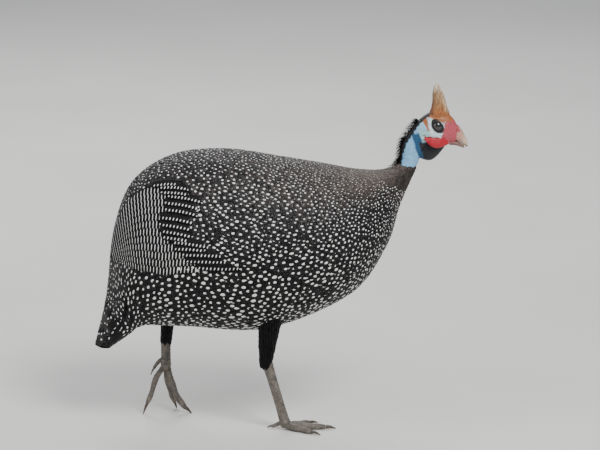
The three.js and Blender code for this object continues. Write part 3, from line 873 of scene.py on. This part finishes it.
# The skin of the trunk and thighs under the coat, one closed surface
def body_skin():
    bodies = [trunk_skin_rings()]
    for line, radii in THIGH_SKINS:
        bodies.append(limb_rings(line, lambda t, a: value_at(radii, 2 * t), 24, 16))
    skin = closed_piece("skin_body", bodies, MATERIALS["feather"])
    apply_modifier(skin, "REMESH", mode="VOXEL", voxel_size=BODY_VOXEL * MM)
    apply_modifier(skin, "SMOOTH", factor=0.5, iterations=4)
    shade_smooth(skin)
    count = len(skin.data.vertices)
    skin.data.attributes.new("tone", "FLOAT", "POINT").data.foreach_set("value", [0.1] * count)
    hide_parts("torso", "tail", "wing_left", "wing_right", "neck_lower", "thigh_left", "thigh_right")
    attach(skin, "root")


# Black feathers of the thighs, in rings down to the shank
def thigh_coat():
    coat = Coat()
    for line, radii, rows in THIGH_COATS:
        for row in range(rows):
            t = 0.12 + 0.85 * row / (rows - 1)
            here = Vector(row_at(line, 2 * t))
            ahead = Vector(row_at(line, min(2 * t + 0.1, 2)))
            back = Vector(row_at(line, 2 * t - 0.1))
            down = (ahead - back).normalized()
            radius = value_at(radii, 2 * t)
            count = max(9, int(radius * 2 * pi / 3.2))
            for i in range(count):
                a = TURN * (i + 0.5 * (row % 2) + rng.uniform(-0.1, 0.1)) / count
                side = Vector((cos(a), sin(a), 0))
                out = (side - down * side.dot(down)).normalized()
                leg_feather(coat, here + out * (radius - 1.2), down, out, rng.uniform(9, 13))
    return coat


# One feather of the thigh, hanging down from its root in mm and bowed out
def leg_feather(coat, root, down, out, length):
    across = down.cross(out)
    rings = []
    for v in (0.0, 0.4, 0.75, 1.0):
        half = 2.2 * (0.6 + 0.4 * v) * (1 if v < 0.9 else 0.25)
        centre = root + down * (length * v) + out * (1.4 * sin(v * 2.2) - 0.6 * v * v)
        rings.append([
            centre - across * half, centre + out * 0.5,
            centre + across * half, centre - out * 0.3,
        ])
    tone = rng.uniform(0.0, 0.3)
    place = (0.9 + rng.uniform(0, 0.05), rng.uniform(0.1, 0.9))
    coat.add_ring_body(rings, tone, 0.0, place)


# Head rings with the crown, cheeks and cere in one closed shape
def head_rings():
    rings = []
    steps = 40
    for i in range(steps + 1):
        s = -0.3 + (len(HEAD) - 0.75) * i / steps
        tx, tz, bx, bz, half = row_at(HEAD, s)
        ring = []
        for a in turns(48):
            c = cos(a)
            ring.append(Vector((
                (tx + bx) / 2 + (tx - bx) / 2 * c,
                half * (1 - 0.12 * c) * sin(a),
                (tz + bz) / 2 + (tz - bz) / 2 * c,
            )))
        rings.append(ring)
    return rings


# Neck rings, which sink under the coat where the feathers of the lower neck start
def neck_rings():
    rings = []
    for i in range(36):
        s = -0.2 + 3.0 * i / 35
        sink = -2.0 * smooth(1.9, 2.4, s)
        rings.append([trunk_point(s, a, sink) for a in turns(40)])
    return rings


# Loft rows of top x z, bottom x z and half width, with folds that ride round it
def lobe_rings(rows, steps, sides, fold):
    rings = []
    for i in range(steps + 1):
        s = (len(rows) - 1) * i / steps
        tx, tz, bx, bz, half = row_at(rows, s)
        ring = []
        for a in turns(sides):
            k = (1 + cos(a)) / 2
            wide = half * (1 + fold * sin(5 * s + 3 * k))
            ring.append(Vector((bx + (tx - bx) * k, wide * sin(a), bz + (tz - bz) * k)))
        rings.append(ring)
    return rings


# Fold of skin under the throat: top x z, bottom x z, half width
THROAT = [
    [163, 336, 161.5, 316.5, 4.5],
    [171, 336, 169, 313.6, 6],
    [177, 336, 176.5, 313.6, 6.5],
    [183, 336, 184, 319.5, 5.4],
    [190, 336, 191.5, 329, 3],
]


# Wattle, a folded lobe along the cheek: middle x y z, half height, half thickness
WATTLE = [
    [196.5, 7.5, 336.5, 2.4, 1.8],
    [189, 12.4, 336.2, 4.8, 2.2],
    [181, 15.0, 336.4, 5.9, 2.4],
    [174, 15.4, 338.4, 4.6, 2.0],
    [168.2, 14.6, 341.4, 1.6, 1.1],
]


def wattle_rings(side):
    rings = []
    for i in range(25):
        x, y, z, high, thick = row_at(WATTLE, 4 * i / 24)
        ring = []
        for a in turns(24):
            fold = 0.4 * cos(3 * a) + 0.3 * sin(i * 0.9)
            wide = (thick + fold) * sin(a)
            ring.append(Vector((x, side * (y + wide), z + high * cos(a))))
        rings.append(ring)
    return rings


# Nine points on an arc of an ellipse in the x z plane, that bulge sideways in the middle
def arc_line(centre, radii, start, end, bulge):
    line = []
    for i in range(9):
        t = i / 8
        a = start + (end - start) * t
        line.append((
            centre[0] + radii[0] * cos(a),
            centre[1] + bulge * sin(pi * t),
            centre[2] + radii[1] * sin(a),
        ))
    return line


# Rolls of skin as arcs: centre, how far out from it, radii, angles of start and end, bulge, and
# thickness: upper lid, lower lid, brow ridge, ear rim
ROLLS = (
    (EYE, 4.2, (5.9, 4.6), (0.0, pi), 0.9, 1.25),
    (EYE, 4.0, (5.9, 4.6), (pi, TURN), 0.8, 1.05),
    (EYE, 2.6, (8.4, 7.0), (0.1, pi - 0.2), 0.5, 1.1),
    (EAR, 0.7, (3.6, 3.2), (0.0, TURN), 0.0, 1.1),
)
# Roll over the nostril
NOSTRIL_ROLL = ((202.5, 5.0, 353.2), (206.5, 5.5, 351.4), (208.8, 4.8, 347.6))


# Lids, brow ridge, ear rim and nostril roll, which the remesh then melts into the head
def face_rolls():
    bodies = []
    for side in (1, -1):
        rolls = []
        for (x, y, z), out, radii, (start, end), bulge, thick in ROLLS:
            centre = (x, (y + out) * side, z)
            rolls.append((arc_line(centre, radii, start, end, bulge * side), thick))
        rolls.append(([mirrored(p, side) for p in NOSTRIL_ROLL], 1.3))
        for line, thick in rolls:
            def radius(t, a, thick=thick):
                return thick * (0.6 + 0.4 * sin(pi * t))

            bodies.append(limb_rings(line, radius, 12, 24))
    return bodies


# Stretched ball, in mm
def ball(name, centre, radii):
    bpy.ops.object.select_all(action="DESELECT")
    bpy.ops.mesh.primitive_uv_sphere_add(segments=40, ring_count=24, radius=1.0)
    piece = bpy.context.object
    piece.name = name
    for vertex in piece.data.vertices:
        vertex.co = Vector([(c + v * r) * MM for c, v, r in zip(centre, vertex.co, radii)])
    return piece


def cut_with(piece, cutter):
    apply_modifier(piece, "BOOLEAN", operation="DIFFERENCE", object=cutter, solver="EXACT")
    bpy.data.objects.remove(cutter)


# Colour part of the way, t, from a to b
def blend(a, b, t):
    return tuple(x + (y - x) * t for x, y in zip(a, b))


RED = colour("#b80d26")
LORES = colour("#b8404e")
PALE = colour("#dfeef2")
SKY = colour("#9fcfe8")
BLUE = colour("#72b2e2")
TEAL = colour("#0f4f77")
NAVY = colour("#080b14")
DARK = colour("#0c0909")
ORANGE = colour("#a8622f")
PINK = colour("#d98b90")
EAR_GREEN = colour("#a9d5c8")
NAPE = colour("#0c0e12")
# Distance from the middle plane past which lids and wattles are painted
LID_SIDE = 6.5
WATTLE_SIDE = 10.2
# Back edge of neck and head, as height and x, for the black stripe down it
NAPE_LINE = [
    (305, 136.5), (322, 139), (334.5, 143), (347, 151), (356, 157), (363, 163.6), (370, 173),
]


# Blue neck with a teal border ahead of it and a near black throat
def neck_paint(x, z, wobble, grain):
    shade = blend(BLUE, SKY, 0.7 * grain)
    forward = x - 155.5 - 0.3 * (337.0 - z) + 0.5 * wobble
    teal = smooth(-0.8, 1.0, forward) * (1 - smooth(345.5, 348.5, z + wobble))
    shade = blend(shade, TEAL, teal)
    throat = smooth(5.0, 6.5, forward) * (1 - smooth(335.0, 337.5, z + 0.5 * wobble))
    return blend(shade, NAVY, throat)


# Pale cheek with a greenish ring round the ear
def cheek_paint(shade, x, z, wobble, grain):
    on_head = smooth(-0.8, 0.8, x - 162.5 + 0.35 * (z - 345.0))
    on_head = on_head * smooth(335.5, 337.0, z + 0.4 * wobble)
    near_ear = 1 - smooth(5.0, 7.0, hypot(x - 168.0, z - 345.0) + wobble)
    shade = blend(shade, blend(SKY, PALE, smooth(171.0, 175.0, x)), on_head)
    return blend(shade, EAR_GREEN, on_head * near_ear * (0.4 + 0.6 * grain))


# Orange crown, with a strip of it down behind the eye, and pink lores ahead of the eye
def crown_paint(shade, x, z, wobble, grain):
    brow = smooth(360.5, 363.0, z + 0.3 * (x - 184.0) + 0.6 * wobble)
    shade = blend(shade, ORANGE, smooth(-1.0, 1.0, x - 164.5) * brow)
    off_strip = abs(x - 165.5 - 0.42 * (368.0 - z) + 0.3 * wobble)
    width = 1.4 + 2.2 * smooth(352.0, 366.0, z)
    strip = (1 - smooth(width - 0.6, width + 0.5, off_strip)) * smooth(349.5, 351.0, z)
    shade = blend(shade, ORANGE, strip)
    lores = smooth(-0.9, 0.9, x - 189.5 - 0.25 * (z - 350.0) + 0.6 * wobble)
    lores = lores * smooth(333.0, 334.5, z)
    pink = blend(LORES, PINK, 0.55 * grain ** 3)
    pink = blend(pink, ORANGE, smooth(357.5, 363.5, z + wobble))
    return blend(shade, pink, lores)


# Colour of the bare skin at a place in mm: neck, cheek and crown, then the dark lids, the red
# wattles, which stand out furthest, and the black stripe down the nape
def skin_paint(p):
    x, y, z = p
    side = abs(y)
    wobble = 0.8 * sin(0.9 * x + 0.7 * z) + 0.5 * sin(1.7 * z - 0.6 * x + y)
    grain = 0.5 + 0.5 * sin(2.9 * x + 1.3 * z) * sin(2.3 * z - 1.1 * x)
    shade = neck_paint(x, z, wobble, grain)
    shade = cheek_paint(shade, x, z, wobble, grain)
    shade = crown_paint(shade, x, z, wobble, grain)
    across = x - EYE[0] - 0.35 * (EYE[2] - z)
    lid = hypot(across / 7.2, (z - EYE[2]) / 8.6)
    if side > LID_SIDE:
        shade = blend(DARK, shade, smooth(0.9, 1.04, lid + 0.03 * wobble))
    if side > WATTLE_SIDE:
        lobe = smooth(-0.5, 0.5, 342.6 - z - 0.08 * (x - 182.0) + 0.3 * wobble)
        lobe = lobe * smooth(167.0, 168.2, x)
        shade = blend(shade, RED, lobe * smooth(328.5, 330.0, z))
    behind = x - between(NAPE_LINE, z) + 0.5 * wobble
    return blend(NAPE, shade, smooth(3.6, 5.0, behind))


# Writes the colour that the rule gives for each point's place in mm
def paint(piece, rule):
    layer = piece.data.color_attributes.new("paint", "FLOAT_COLOR", "POINT")
    values = []
    for vertex in piece.data.vertices:
        values.extend(rule(vertex.co / MM))
    layer.data.foreach_set("color", values)


# Bare head and upper neck: one skin with lids, ear cups, wattles and throat fold
def head_skin():
    bodies = [head_rings(), neck_rings(), lobe_rings(THROAT, 30, 28, 0.05)]
    bodies.extend([wattle_rings(1), wattle_rings(-1)])
    bodies.extend(face_rolls())
    skin = closed_piece("skin_head", bodies, MATERIALS["skin"])
    apply_modifier(skin, "REMESH", mode="VOXEL", voxel_size=HEAD_VOXEL * MM)
    apply_modifier(skin, "SMOOTH", factor=0.5, iterations=3)
    socket = EYE_RADIUS + 0.1
    for side in (1, -1):
        ear = (EAR[0], (EAR[1] + 2.4) * side, EAR[2])
        cut_with(skin, ball("eye_cut", mirrored(EYE, side), (socket, socket, socket)))
        cut_with(skin, ball("ear_cut", ear, (2.3, 2.6, 1.9)))
    shade_smooth(skin)
    paint(skin, skin_paint)
    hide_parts("head", "neck_upper", "throat_fold", "wattle_left", "wattle_right")
    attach(skin, "root")


# Casque: ochre root, paler upwards, worn front ridge, brown back edge and pale tip
def casque_paint(p):
    x, y, z = p
    up = smooth(370, 390, z + 2.0 * sin(0.8 * x + 1.7 * y))
    shade = blend(colour("#a3622f"), colour("#a08058"), up)
    ridge = smooth(1.0, 3.5, x - (190.0 - 0.24 * (z - 370.0)))
    shade = blend(shade, colour("#cdb392"), 0.8 * ridge * smooth(368, 374, z))
    back = 1 - smooth(0.5, 2.5, x - 176.0)
    shade = blend(shade, colour("#6b4a33"), 0.7 * back)
    return blend(shade, colour("#d3bfa6"), smooth(392, 399, z))


# Casque from its root up: back x z, front x z, half width
CASQUE = [
    [171.0, 361, 202.5, 355, 9.6],
    [172.5, 366, 200.0, 360, 8.8],
    [175.4, 374, 196.4, 371, 7.6],
    [176.8, 382, 193.4, 380, 6.2],
    [177.0, 390, 190.8, 389, 5.0],
    [177.8, 397, 187.8, 396.5, 3.9],
    [179.0, 401, 186.0, 401, 2.8],
    [180.8, 403.0, 184.2, 403.0, 1.3],
]


# Casque: a tall flattened horn with a blunt tip, rough all over
def casque():
    rings = []
    for i in range(65):
        ax, az, bx, bz, half = row_at(CASQUE, 7 * i / 64)
        ring = []
        for a in turns(36):
            c = cos(a)
            rough = 1 + 0.035 * sin(7 * a + 0.15 * i) * sin(0.35 * i + 2 * a)
            ring.append(Vector((
                (ax + bx) / 2 + (bx - ax) / 2 * c * rough,
                half * sin(a) * (1 - 0.25 * c) * rough,
                (az + bz) / 2 + (bz - az) / 2 * c,
            )))
        rings.append(ring)
    piece = closed_piece("casque_horn", [rings], MATERIALS["casque"])
    paint(piece, casque_paint)
    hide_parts("casque")
    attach(piece, "root")


# Bill: red at the root through pink to pale horn at the tip, dark along the mouth
def bill_paint(p):
    x, _, z = p
    t = smooth(203.5, 208.0, x + 0.25 * (345.0 - z))
    shade = blend(colour("#b04450"), colour("#c9988a"), t)
    shade = blend(shade, colour("#d6bfa6"), smooth(209.5, 215.5, x + 0.2 * (340 - z)))
    under = 1 - smooth(0.2, 1.6, z - (336.6 - 0.42 * max(x - 204.0, 0.0)))
    return blend(shade, colour("#5a453d"), 0.75 * under)


# Halves of the bill from root to tip: top x z, bottom x z, half width
BILL_UPPER = [
    [199, 357, 200, 337.5, 6.6],
    [206.5, 355, 204, 336.6, 6.3],
    [211.3, 349.5, 208.5, 335.4, 5.3],
    [215, 343.5, 212, 333.2, 4.2],
    [217.4, 337.5, 215, 330.8, 2.9],
    [218.5, 331.5, 217.2, 328.6, 1],
]
BILL_LOWER = [
    [196, 337.2, 197, 331.4, 6.0],
    [203, 336.8, 204, 331, 5.2],
    [209, 334.6, 209.5, 329.2, 4.0],
    [214.2, 331.0, 214.4, 327.6, 1.7],
]
NOSTRIL = (205.2, 7.0, 347.8)
NOSTRIL_SIZE = (2.1, 2.0, 0.8)


# Bill: curved upper and lower halves, with the mouth line open a hair between them
def bill():
    for name, rows in (("bill_upper", BILL_UPPER), ("bill_lower", BILL_LOWER)):
        piece = closed_piece(name + "_horn", [lobe_rings(rows, 40, 32, 0.0)], MATERIALS["bill"])
        if name == "bill_upper":
            for side in (1, -1):
                cut_with(piece, ball("nostril", mirrored(NOSTRIL, side), NOSTRIL_SIZE))
        paint(piece, bill_paint)
        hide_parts(name)
        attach(piece, "root")


# Glossy eyeballs, set where the CAD eyes are
def eyes():
    for name, side in (("left", 1), ("right", -1)):
        piece = ball("eyeball_" + name, mirrored(EYE, side), (EYE_RADIUS,) * 3)
        piece.data.materials.clear()
        piece.data.materials.append(MATERIALS["eye"])
        shade_smooth(piece)
        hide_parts("eye_" + name)
        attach(piece, "root")


# Ridge of one scute after another along a limb, sharp at its lower edge
def scute(t, count):
    k = (t * count) % 1.0
    return 0.55 * k * (1 - smooth(0.86, 1.0, k))


# Scaled piece from limbs, each with its middle line, radii down it, number of scutes, steps,
# flatness, and the side on which the scutes stand out
def leg_piece(name, parts, node):
    bodies = []
    for line, radii, count, steps, flat, front_side in parts:
        def radius(t, a, radii=radii, count=count, front_side=front_side):
            base = value_at(radii, t * (len(radii) - 1))
            front = smooth(-0.35, 0.35, cos(a) * front_side)
            return base + scute(t, count) * (0.25 + 0.75 * front)

        bodies.append(limb_rings(line, radius, 24, steps, flat))
    piece = closed_piece(name, bodies, MATERIALS["scute"])
    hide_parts(node)
    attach(piece, "root")
    return piece


# Radii down a toe, thicker at its pads
def toe_radii(thick):
    return [thick * k for k in (1, 0.86, 0.98, 0.78, 0.86, 0.55)]


# Middle line of a toe that lies on the floor, turned off the bird's heading
def spread_toe(x, y, turn, length):
    def at(d, z):
        return (x + cos(turn) * d, y + sin(turn) * d, z)

    return [at(-1, 6.2), at(length * 0.3, 4.6), at(length * 0.65, 3.8), at(length, 3.2)]


# Lower ends of the shanks
RIGHT_ANKLE = (6.6, -38.0, 8.0)
LEFT_ANKLE = (-134.0, 38.0, 58.0)


def shanks():
    x, y, z = RIGHT_ANKLE
    line = [(-15.5, y, 85), ((x - 15.5) / 2, y, (85 + z) / 2), RIGHT_ANKLE]
    radii = [6.8, 5.7, 5.4, 5.4, 6.2]
    leg_piece("shank_right", [(line, radii, 22, 160, 0.8, 1)], "tarsus_right")
    line = [(-134, 36.5, 98), (-134, 37.2, 78), LEFT_ANKLE]
    leg_piece("shank_left", [(line, [6.3, 5.7, 5.5, 6.0], 11, 90, 0.8, 1)], "tarsus_left")


# Right foot, which stands: three spread toes (turn, share of the longest), hind toe and ankle
def right_toes():
    x, y, _ = RIGHT_ANKLE
    toes = [
        (spread_toe(x, y, turn, 47 * k), toe_radii(4.1), int(14 * k), 90, 1.05, -1)
        for turn, k in ((0.62, 0.74), (0.02, 1.0), (-0.6, 0.8))
    ]
    hind = [(x - 1, y + 2, 10), (x - 8, y + 3, 6), (x - 15, y + 4, 2.9)]
    ankle = [(x - 2, y, 12), (x, y, 7), (x + 1, y, 3)]
    toes.append((hind, [2.5, 2.3, 1.7], 5, 30, 1.0, -1))
    toes.append((ankle, [5.0, 6.2, 4.2], 2, 24, 1.0, 1))
    piece = leg_piece("toes_right", toes, "foot_right")
    for vertex in piece.data.vertices:
        vertex.co.z = max(vertex.co.z, 0.0)


# Left foot, which trails: three toes that hang, hind toe and ankle
def left_toes():
    x, y, z = LEFT_ANKLE
    inner = [
        (x - 1, y - 2, z), (x - 11, y - 4, z - 14), (x - 17, y - 5, z - 33), (x - 22, y - 6, 13)]
    middle = [(x + 1, y, z), (x + 6, y, z - 20), (x + 13, y - 1, z - 38), (x + 23, y - 2, 6)]
    outer = [(x, y + 2, z), (x + 1, y + 8, z - 18), (x + 5, y + 14, z - 36), (x + 9, y + 18, 9)]
    hind = [(x - 3, y, z + 8), (x - 9, y + 1, z + 3), (x - 14, y + 2, z - 4)]
    ankle = [(x, y, z + 4), (x, y, z), (x, y, z - 5)]
    leg_piece("toes_left", [
        (inner, toe_radii(3.5), 12, 90, 1.05, -1),
        (middle, toe_radii(4.3), 14, 100, 1.05, 1),
        (outer, toe_radii(3.7), 12, 90, 1.05, 1),
        (hind, [2.4, 2.2, 1.6], 5, 30, 1.0, -1),
        (ankle, [5.0, 6.0, 4.6], 2, 24, 1.0, 1),
    ], "foot_left")


# The claws are the CAD solids, with horn on them
def claws():
    for name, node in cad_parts.items():
        if name.startswith("claw_"):
            node.data.materials.clear()
            node.data.materials.append(MATERIALS["claw"])


# Short black hairs in a thin line down the nape
def nape_bristles():
    coat = Coat()
    for _ in range(BRISTLES):
        s = rng.uniform(-0.1, 2.1)
        angle = rng.gauss(0.0, 0.16)
        root = trunk_point(s, angle, -0.5)
        out = (trunk_point(s, angle, 1.0) - root).normalized()
        down = (trunk_point(s + 0.2, angle) - trunk_point(s, angle)).normalized()
        lean = down * rng.uniform(0.2, 1.6) + Vector((0, rng.uniform(-0.3, 0.3), 0))
        length = rng.uniform(3.5, 8.5)
        across = out.cross(Vector((0, 0, 1))).normalized()
        rings = []
        for v in (0.0, 0.35, 0.7, 1.0):
            centre = root + (out + lean * v) * (length * v)
            half = 0.28 * (1.05 - v)
            up = Vector((0, 0, half))
            rings.append([centre - across * half, centre + up, centre + across * half, centre - up])
        coat.add_ring_body(rings, 0.0, 0.0, coat_place(max(s, 0), angle))
    coat.finish("nape_bristles", MATERIALS["feather"])


# All pieces of the coat but the nape: body, wings, tail and thighs
def plumage():
    coats, spots = body_coat()
    for key in coats:
        coats[key].finish("feathers_" + key, MATERIALS["feather"])
        spots[key].finish("spots_" + key, MATERIALS["white"])
    for name, side in (("left", 1), ("right", -1)):
        coat, marks = wing_coat(side)
        coat.finish("wing_feathers_" + name, MATERIALS["feather"])
        marks.finish("wing_marks_" + name, MATERIALS["white"])
    tail_coat().finish("tail_feathers", MATERIALS["feather"])
    thigh_coat().finish("thigh_feathers", MATERIALS["feather"])


# Soft lights: place in m, size in m, power in W
LIGHTS = (
    ("key_light", (0.9, -1.6, 2.1), 1.0, 62),
    ("fill_light", (-1.8, -1.2, 1.2), 1.6, 16),
    ("rim_light", (-0.4, 1.8, 1.7), 1.2, 30),
)
LIT_POINT = Vector((0, 0, 0.2))


# Pale floor, grey surroundings and the lights
def studio():
    bpy.ops.object.select_all(action="DESELECT")
    bpy.ops.mesh.primitive_plane_add(size=12.0, location=(0, 0, 0))
    floor = bpy.context.object
    floor.name = "floor"
    floor.data.materials.append(MATERIALS["floor"])
    world = bpy.data.worlds.new("studio")
    bpy.context.scene.world = world
    world.use_nodes = True
    background = world.node_tree.nodes["Background"]
    background.inputs["Color"].default_value = colour("#dfe4ea")
    background.inputs["Strength"].default_value = 0.55
    for name, place, size, power in LIGHTS:
        light = bpy.data.lights.new(name, "AREA")
        light.size = size
        light.energy = power
        lamp = bpy.data.objects.new(name, light)
        lamp.location = place
        towards = LIT_POINT - Vector(place)
        lamp.rotation_euler = towards.to_track_quat("-Z", "Y").to_euler()
        bpy.context.scene.collection.objects.link(lamp)


# The photo's camera, from the bird's right side
def camera():
    data = bpy.data.cameras.new("photo_camera")
    data.sensor_width = SENSOR
    data.lens = SENSOR * DISTANCE / (FRAME_WIDTH_PX * PIXEL)
    data.clip_end = 100.0
    eye = bpy.data.objects.new("photo_camera", data)
    aim = Vector(AIM)
    eye.location = aim + Vector((0, -cos(ELEVATION), sin(ELEVATION))) * DISTANCE
    eye.rotation_euler = (aim - eye.location).to_track_quat("-Z", "Y").to_euler()
    bpy.context.scene.collection.objects.link(eye)
    bpy.context.scene.camera = eye


camera()
studio()
body_skin()
head_skin()
casque()
bill()
eyes()
shanks()
right_toes()
left_toes()
claws()
plumage()
nape_bristles()
